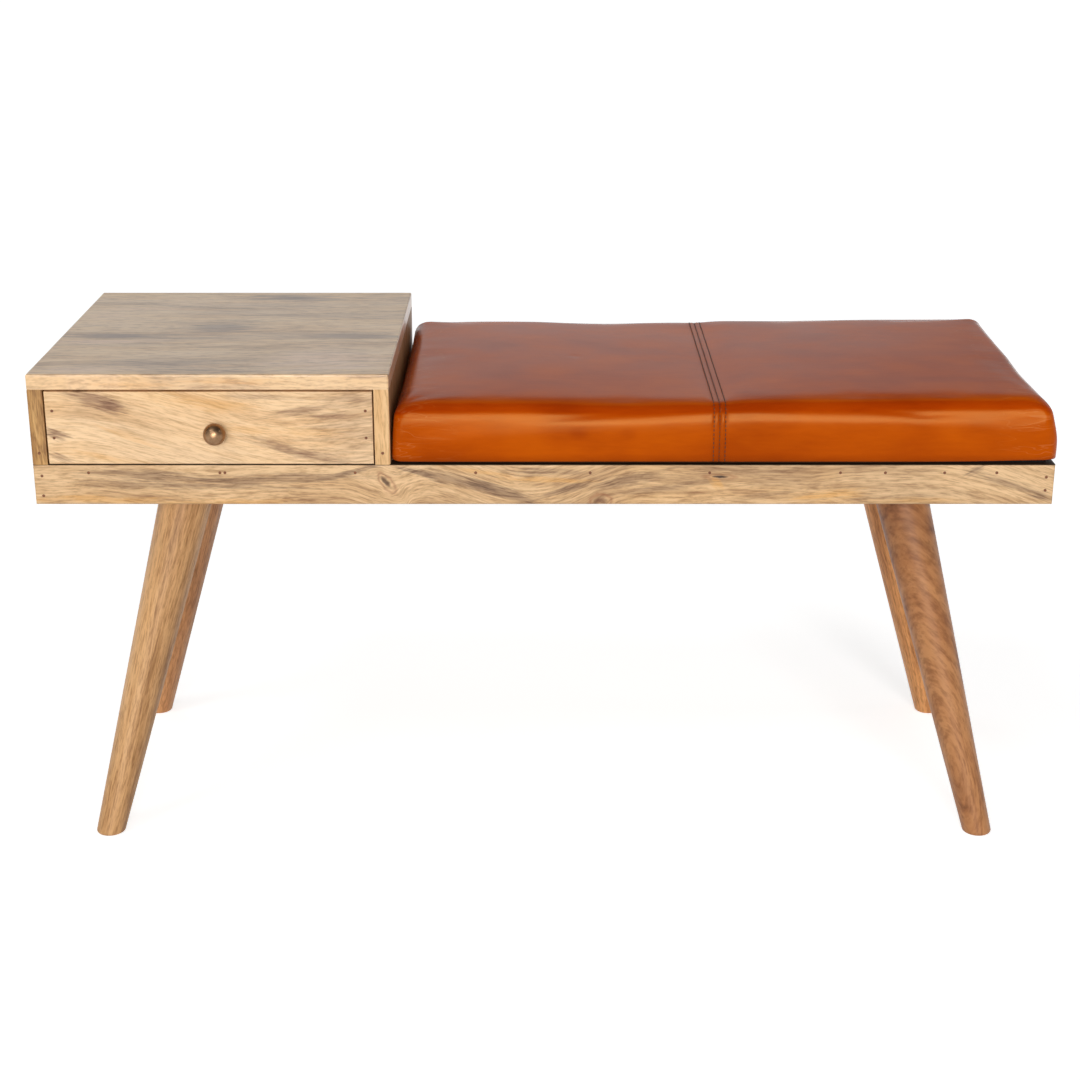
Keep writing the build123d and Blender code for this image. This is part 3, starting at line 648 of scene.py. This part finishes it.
def cornered(px, py, level, at_front):
    """A point at a level in from the outline, moved onto the rounded corner of that level."""
    bend = front_bend if at_front else back_bend
    zone = level + (corner + bend * smooth(2 * level / top_round))
    qx = min(max(px, x_low + zone), x_high - zone)
    qy = min(max(py, y_low + zone), y_high - zone)
    dx, dy = px - qx, py - qy
    if abs(dx) > TINY and abs(dy) > TINY:
        scale = max(abs(dx), abs(dy)) / sqrt(dx * dx + dy * dy)
        px, py = qx + dx * scale, qy + dy * scale
    return px, py


def belly(rise):
    """How far a side swells out, by the share of the height: full low down, leaning in at the top."""
    return side_belly * sin(pi * min(1.0, rise / 0.7)) - side_lean * rise


def front_lean(below):
    """How far the front leans in at a depth below the rim: a long curve into the rounded edge."""
    below = max(below, soft_from)
    if below > soft_to:
        return 0.0
    curve = soft_reach * ((soft_to - below) / (soft_to - soft_from)) ** 2.8
    past = max(0.0, top_round - below)
    return curve - (top_round - sqrt(top_round**2 - past**2))


def end_swell(side, across, rise, py):
    """How far an end stands out. Both are drawn in at the middle, the right one at its front too."""
    draw = (right_draw if side > 0 else left_draw) * max(0.0, 1 - across * across)
    if side > 0:
        draw += front_pull * rise**3 * smooth((y_middle + 0.03 - py) / 0.12)
        draw -= foot_out * smooth((0.7 - rise) / 0.4)
    return belly(rise) - draw


def face_swell(side, across, rise, height):
    """How far the front or the back stands out."""
    swell = belly(rise)
    if across < 0:
        swell = front_belly * sin(pi * min(1.0, rise)) - front_lean(rim - height)
    return swell - face_draw * max(0.0, 1 - side * side)


def stuffing(x):
    """How the pad's height varies along it: a slight dip in the left panel, fuller to the right."""
    if x < seam:
        hollow = exp(-(((x - seam + 0.12) / 0.07) ** 2))
        return left_rise * smooth((seam - x) / 0.2) - left_dip * hollow
    share = (x - seam) / (x_high - seam)
    return right_step * smooth(share / 0.1) + right_rise * share


def shape(x, y, z):
    """Where a point of the box's surface lies on the pad, before it is filled."""
    inset_x, inset_y, height = rolled(x, y, z)
    px = x_low + inset_x if x - x_low < x_high - x else x_high - inset_x
    py = y_low + inset_y if y - y_low < y_high - y else y_high - inset_y
    px, py = cornered(px, py, min(inset_x, inset_y), y < y_middle)
    across = 2 * (py - y_middle) / depth
    side = (2 * px - x_low - x_high) / length
    rise = height / rim
    px += side**7 * end_swell(side, across, rise, py)
    py += across**7 * face_swell(side, across, rise, height)
    if z >= rim - TINY:
        span = (seam - x_low) if px < seam else (x_high - seam)
        panel = min(1.0, abs(px - seam) / span)
        height += crown * (1 - (2 * panel - 1) ** 2) * max(0.0, 1 - across * across)
    ahead = max(0.0, 1 - (y - y_low) / hang_deep) * max(0.0, 1 - height / hang_high)
    drop = (hang * (1 - side**4) - lift * smooth((side - 0.5) / 0.45)) * ahead
    return Vector((max(px, x_low), py, foot + height - drop + rise * stuffing(px)))


def pad_mesh():
    """The closed pad before it is filled, and the grid place of each of its points."""
    counts = len(xs), len(ys), len(zs)
    index, points = {}, []
    for i, x in enumerate(xs):
        for j, y in enumerate(ys):
            for k, z in enumerate(zs):
                if any(at in (0, count - 1) for at, count in zip((i, j, k), counts)):
                    index[i, j, k] = len(points)
                    points.append(shape(x, y, z))
    faces = []
    for fixed, first, second, low_flips in ((2, 0, 1, True), (1, 0, 2, False), (0, 1, 2, True)):
        for end, flip in ((0, low_flips), (counts[fixed] - 1, not low_flips)):
            for a in range(counts[first] - 1):
                for b in range(counts[second] - 1):
                    quad = []
                    for step_a, step_b in ((0, 0), (1, 0), (1, 1), (0, 1)):
                        place = {fixed: end, first: a + step_a, second: b + step_b}
                        quad.append(index[place[0], place[1], place[2]])
                    faces.append(quad[::-1] if flip else quad)
    made = bpy.data.meshes.new("seat_pad")
    made.from_pydata(points, [], faces)
    for polygon in made.polygons:
        polygon.use_smooth = True
    return made, index


mesh, grid = pad_mesh()
pad = bpy.data.objects.new("seat_pad", mesh)
scene.collection.objects.link(pad)

# The fill presses the leather out; the foot, the turned-under edge and the seam hold it.
hold, foot_grip, seam_grip = 7 * MM, 1.0, 0.9
most_move, move_share = 3 * MM, 0.4
last_step = 20
cloth_settings = {
    "quality": 6,
    "mass": 0.4,
    "tension_stiffness": 60,
    "compression_stiffness": 60,
    "shear_stiffness": 30,
    "bending_stiffness": 8,
    "use_pressure": True,
    "uniform_pressure_force": 4,
    "vertex_group_mass": "held",
}


def fill_pad():
    start = [v.co.copy() for v in mesh.vertices]
    held = pad.vertex_groups.new(name="held")
    for (i, _, k), at in grid.items():
        if zs[k] < hold:
            held.add([at], foot_grip, "REPLACE")
        elif abs(xs[i] - seam) < hold:
            held.add([at], seam_grip, "REPLACE")
    cloth = pad.modifiers.new("fill", "CLOTH")
    for key, value in cloth_settings.items():
        setattr(cloth.settings, key, value)
    cloth.settings.effector_weights.gravity = 0
    cloth.collision_settings.use_collision = False
    cloth.point_cache.frame_start = 1
    cloth.point_cache.frame_end = last_step
    for step in range(1, last_step + 1):
        scene.frame_set(step)
    filled = pad.evaluated_get(bpy.context.evaluated_depsgraph_get())
    filled_points = [v.co.copy() for v in filled.data.vertices]
    pad.modifiers.remove(cloth)
    scene.frame_set(1)
    pad.vertex_groups.clear()
    for vertex, before, after in zip(mesh.vertices, start, filled_points):
        move = after - before
        if move.length > most_move:
            move *= most_move / move.length
        vertex.co = before + move * move_share


def crease_pad():
    """Seam crease, the pull of the two stitched lines, and the slight unevenness of hide over foam."""
    mesh.update()
    normals = [v.normal.copy() for v in mesh.vertices]
    for (i, _, k), at in grid.items():
        vertex = mesh.vertices[at]
        off = abs(xs[i] - seam) / MM
        sink = seam_sink * exp(-((off / seam_wide) ** 2))
        sink += stitch_sink * exp(-(((off - stitch_off) / stitch_wide) ** 2))
        if k > 0:
            uneven = noise.noise(vertex.co * 12) * 0.40 + noise.noise(vertex.co * 36) * 0.03
            vertex.co += normals[at] * (uneven - sink) * MM
    for vertex in mesh.vertices:
        vertex.co.x = max(vertex.co.x, x_low - 0.3 * MM)
    mesh.update()


fill_pad()
crease_pad()
finer = pad.modifiers.new("finer", "SUBSURF")
finer.levels = finer.render_levels = 1

# Soft lighter and darker places of the hide on the pad's front: X, height, half sizes, tint
hide_spots = (
    (-0.105, 0.036, 0.060, 0.034, (1.16, 1.22, 1.0)),
    (0.037, 0.032, 0.016, 0.011, (0.86, 0.78, 0.7)),
    (0.090, 0.031, 0.013, 0.010, (0.91, 0.86, 0.8)),
    (0.390, 0.016, 0.070, 0.018, (0.88, 0.82, 0.8)),
)
HIDE = ((0.36, rgb(172, 66, 0)), (0.50, rgb(189, 78, 1)), (0.64, rgb(202, 89, 2)))
SEAM_LINE = rgb(90, 40, 10)
SEAM_ALLOWANCE = rgb(120, 48, 8)
WORN = rgb(226, 150, 92)
EDGE_SHADE = (0.80, 0.55, 0.35)
FOOT_SHADE = (0.6, 0.52, 0.5)
FOOT_SHADOW = rgb(20, 12, 8)


def leather_colour(g, tone, worn):
    """The hide's colour: darker at the seam, painted shade on the rounded top edge and towards the foot, and
    a painted black shadow along the very foot.
    """
    at, facing = g.split(g.place), g.split(g.normal)["Z"]
    off = g.math("ABSOLUTE", g.math("SUBTRACT", at["X"], seam))
    colour = g.ramp(tone, HIDE)
    colour = g.mix(g.fit(off, 1.0 * MM, 0.4 * MM, 0.0, 0.3), colour, SEAM_LINE)
    colour = g.mix(g.fit(off, 11 * MM, 5 * MM, 0.0, 0.15), colour, SEAM_ALLOWANCE)
    colour = g.mix(worn, colour, WORN)
    # Painted shade: the rounded top edge, where the hide faces half up, is darkened.
    edge_shade = g.math("MULTIPLY", g.fit(facing, 0.30, 0.56), g.fit(facing, 0.96, 0.82))
    colour = g.mix(edge_shade, colour, EDGE_SHADE, "MULTIPLY")
    low = g.fit(at["Z"], foot + 11 * MM, foot + 1 * MM, 0.0, 0.6)
    colour = g.mix(low, colour, FOOT_SHADE, "MULTIPLY")
    for x, z, wide, high, tint in hide_spots:
        near = g.from_spot(g.place, (x, 0, foot + z), (wide, THROUGH, high))
        colour = g.mix(g.fit(g.vector("LENGTH", near), 1.0, 0.1), colour, tint, "MULTIPLY")
    # Painted shadow: the lowest band of the hide turns near black, as the shadowed gap under the pad.
    foot_shadow = g.fit(at["Z"], foot + 1.4 * MM, foot - 0.2 * MM, 0.0, 0.97)
    return g.mix(foot_shadow, colour, FOOT_SHADOW)


def leather():
    g = Graph("tan_leather")
    broad = g.noise(g.place, 6, 2, 0.5)
    blotch = g.noise(g.mapped(g.place, scale=(0.7, 1, 1)), 24, 1, 0.4)
    fine = g.noise(g.mapped(g.place, scale=(45, 230, 230)), 1.0, 3, 0.6)
    tone = g.weighed((broad, 0.45), (blotch, 0.40), (fine, 0.15))
    ends = g.math("SUBTRACT", g.split(g.place)["X"], (x_low + x_high) / 2)
    ends = g.fit(g.math("ABSOLUTE", ends), length / 2 - 90 * MM, length / 2 - 10 * MM)
    fold = g.noise(g.mapped(g.place, (0, 0, 0), (0, radians(28), 0), (15, 40, 95)), 1.0, 2, 0.5, 0.5)
    worn = g.math("ABSOLUTE", g.math("SUBTRACT", fold, 0.5))
    worn = g.math("MULTIPLY", g.fit(worn, 0.016, 0.002, 0.0, 0.16), ends)
    normal = g.bump(g.noise(g.place, 700, 2, 0.5), 0.05, 0.4 * MM)
    scar = g.from_spot(g.place, (0.036, 0.010, 0.5), (0.011, 0.012, THROUGH), (0, 0, radians(12)))
    normal = g.bump(g.fit(g.vector("LENGTH", scar), 0.1, 1.0), 0.25, 1.0 * MM, normal)
    normal = g.bump(g.math("MULTIPLY", fold, ends), 0.30, 2.5 * MM, normal)
    return g.finish(
        leather_colour(g, tone, worn), g.fit(blotch, 0.35, 0.68, 0.19, 0.23), normal,
        Specular_IOR_Level=0.15, Specular_Tint=(1.0, 0.74, 0.26, 1)
    )


mesh.materials.append(leather())
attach(pad, "bench")
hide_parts("seat_cover_left", "seat_cover_right", "seat_foam")


# Stitches: short arched thread ends along three lines of the grid, laid on the finished pad.
def stitch_line(surface, offset):
    """Places and normals on the pad, up its front, over its top and down its back."""
    last_y, last_z = len(ys) - 1, len(zs) - 1
    around = [(0, k) for k in range(2, last_z + 1)] + [(j, last_z) for j in range(1, last_y + 1)]
    around += [(last_y, k) for k in range(last_z - 1, 1, -1)]
    column = min(range(len(xs)), key=lambda i: abs(xs[i] - seam - offset * MM))
    path = [mesh.vertices[grid[column, j, k]].co for j, k in around]
    return [surface.find_nearest(point)[:2] for point in path]


def along_path(path, pitch):
    """Evenly spaced places on a line of places and normals."""
    walked, out, due = 0.0, [], pitch / 2
    for (a, na), (b, nb) in zip(path, path[1:]):
        run = (b - a).length
        while due <= walked + run:
            share = (due - walked) / run
            out.append((a.lerp(b, share), na.lerp(nb, share).normalized(), (b - a).normalized()))
            due += pitch
        walked += run
    return out


def add_stitch(built, centre, up, ahead, long, thick, sides=6):
    """One stitch: a tube that arches up from the hide and sinks into it at both ends."""
    ahead = (ahead - up * ahead.dot(up)).normalized()
    aside = up.cross(ahead)
    turns = [2 * pi * n / sides for n in range(sides)]
    rings = []
    for t in (-1.0, -0.75, -0.3, 0.3, 0.75, 1.0):
        raised = 0.75 * thick * (1 - t * t) - 0.25 * thick
        radius = thick / 2 * sqrt(max(0.12, 1 - t**4))
        middle = centre + ahead * (t * long / 2) + up * raised
        rings.append([built.verts.new(middle + (aside * cos(a) + up * sin(a)) * radius) for a in turns])
    for one, two in zip(rings, rings[1:]):
        for n in range(sides):
            built.faces.new((one[n], one[(n + 1) % sides], two[(n + 1) % sides], two[n]))
    built.faces.new(rings[0][::-1])
    built.faces.new(rings[-1])


def stitches(name, lines, long, thick, pitch):
    built = bmesh.new()
    for path in lines:
        for centre, up, ahead in along_path(path, pitch):
            add_stitch(built, centre, up, ahead, long, thick)
    data = bpy.data.meshes.new(name)
    built.normal_update()
    built.to_mesh(data)
    built.free()
    for polygon in data.polygons:
        polygon.use_smooth = True
    made = bpy.data.objects.new(name, data)
    scene.collection.objects.link(made)
    return made


def thread():
    g = Graph("seam_thread")
    wave = g.node("ShaderNodeTexWave", wave_type="BANDS", bands_direction="DIAGONAL")
    g.put(wave.inputs["Vector"], g.place)
    wave.inputs["Scale"].default_value = 700
    wave.inputs["Distortion"].default_value = 1.5
    twist = wave.outputs["Fac"]
    colour = g.ramp(twist, ((0.2, rgb(36, 22, 8)), (0.8, rgb(70, 46, 20))))
    return g.finish(colour, g.fit(twist, 0, 1, 0.55, 0.75), g.bump(twist, 0.4, 0.2 * MM))


hide = BVHTree.FromObject(pad, bpy.context.evaluated_depsgraph_get())
left_row, seam_row, right_row = [stitch_line(hide, offset) for offset in (-stitch_off, 0.0, stitch_off)]
thread_look = thread()
outer_stitches = stitches("seam_topstitch", (left_row, right_row), 3.6 * MM, 0.9 * MM, 4.7 * MM)
inner_stitches = stitches("seam_stitch", (seam_row,), 3.0 * MM, 0.7 * MM, 4.4 * MM)
for piece in (outer_stitches, inner_stitches):
    piece.data.materials.append(thread_look)
    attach(piece, "bench")


# Floor, light and camera
FLOOR_REACH = 40
FLOOR_GLOW = 0.72
FLOOR_GREY = (0.75, 0.75, 0.75, 1)
AMBIENT = 0.10
SKY_LOW, SKY_HIGH = sin(radians(16)), sin(radians(46))
SKY_BRIGHT, SKY_DIM = 0.68, 0.22
ASIDE_FROM, ASIDE_TO, ASIDE_DIM = 0.10, 0.24, 0.66


def stage_floor():
    """A white floor that glows only to the camera and to what mirrors it."""
    data = bpy.data.meshes.new("floor")
    corners = [(x * FLOOR_REACH, y * FLOOR_REACH, 0) for x, y in ((-1, -1), (1, -1), (1, 1), (-1, 1))]
    data.from_pydata(corners, [], [(0, 1, 2, 3)])
    floor = bpy.data.objects.new("floor", data)
    scene.collection.objects.link(floor)
    material = bpy.data.materials.new("floor_white")
    material.use_nodes = True
    g = Tree(material.node_tree)
    seen = g.node("ShaderNodeLightPath").outputs
    watched = g.math("MAXIMUM", seen["Is Camera Ray"], seen["Is Glossy Ray"])
    watched = g.math("MAXIMUM", watched, seen["Is Transmission Ray"])
    glow, matte = g.node("ShaderNodeEmission"), g.node("ShaderNodeBsdfDiffuse")
    g.put(glow.inputs["Strength"], FLOOR_GLOW)
    g.put(matte.inputs["Color"], FLOOR_GREY)
    both, pick = g.node("ShaderNodeAddShader"), g.node("ShaderNodeMixShader")
    for socket, value in zip(both.inputs, (glow.outputs[0], matte.outputs[0])):
        g.put(socket, value)
    for socket, value in zip(pick.inputs, (watched, matte.outputs[0], both.outputs[0])):
        g.put(socket, value)
    g.put(g.node("ShaderNodeOutputMaterial").inputs[0], pick.outputs[0])
    data.materials.append(material)


def stage_world():
    """White to the camera, a faint even light, and a sky bright low down for what mirrors it."""
    world = bpy.data.worlds.new("studio")
    scene.world = world
    world.use_nodes = True
    g = Tree(world.node_tree)
    seen = g.node("ShaderNodeLightPath").outputs
    way = g.split(g.node("ShaderNodeTexCoord").outputs["Generated"])
    sky = g.fit(way["Z"], SKY_LOW, SKY_HIGH, SKY_BRIGHT, SKY_DIM)
    sky = g.math("MULTIPLY", sky, g.fit(way["X"], ASIDE_FROM, ASIDE_TO, 1.0, ASIDE_DIM))
    mirrored = g.math("MAXIMUM", seen["Is Glossy Ray"], seen["Is Transmission Ray"])
    strength = g.between(seen["Is Camera Ray"], g.between(mirrored, AMBIENT, sky), 1.0)
    back = g.node("ShaderNodeBackground")
    g.put(back.inputs["Color"], (1, 1, 1, 1))
    g.put(back.inputs["Strength"], strength)
    g.put(g.node("ShaderNodeOutputWorld").inputs[0], back.outputs[0])


def stage_sun(name, azimuth, elevation, width, strength):
    """A soft light from far away; its angles and its width are in degrees."""
    lamp = bpy.data.lights.new(name, "SUN")
    lamp.energy = strength * pi
    lamp.angle = radians(width)
    sun = bpy.data.objects.new(name, lamp)
    sun.rotation_euler = Euler((radians(90 - elevation), 0, radians(azimuth)))
    scene.collection.objects.link(sun)


def stage_camera(place, below_level, focal_length, sensor_width):
    lens = bpy.data.cameras.new("photo_camera")
    lens.sensor_width = sensor_width
    lens.lens = focal_length
    camera = bpy.data.objects.new("photo_camera", lens)
    camera.location = place
    camera.rotation_euler = (radians(90 - below_level), 0, 0)
    scene.collection.objects.link(camera)
    scene.camera = camera


stage_floor()
stage_world()
stage_sun("key", -10, 8, 30, 0.36)
stage_sun("strip", 7, 18, 20, 0.42)
stage_sun("left_box", -39, 52, 22, 0.15)
stage_sun("right_box", 84, 36, 12, 0.025)
stage_sun("left_fill", -130, 10, 40, 0.25)
stage_sun("right_fill", 130, 10, 40, 0.07)
stage_camera(place=(-0.0045, -2.2096, 1.0913), below_level=19.618, focal_length=65.70, sensor_width=36)
scene.view_settings.view_transform = "Standard"
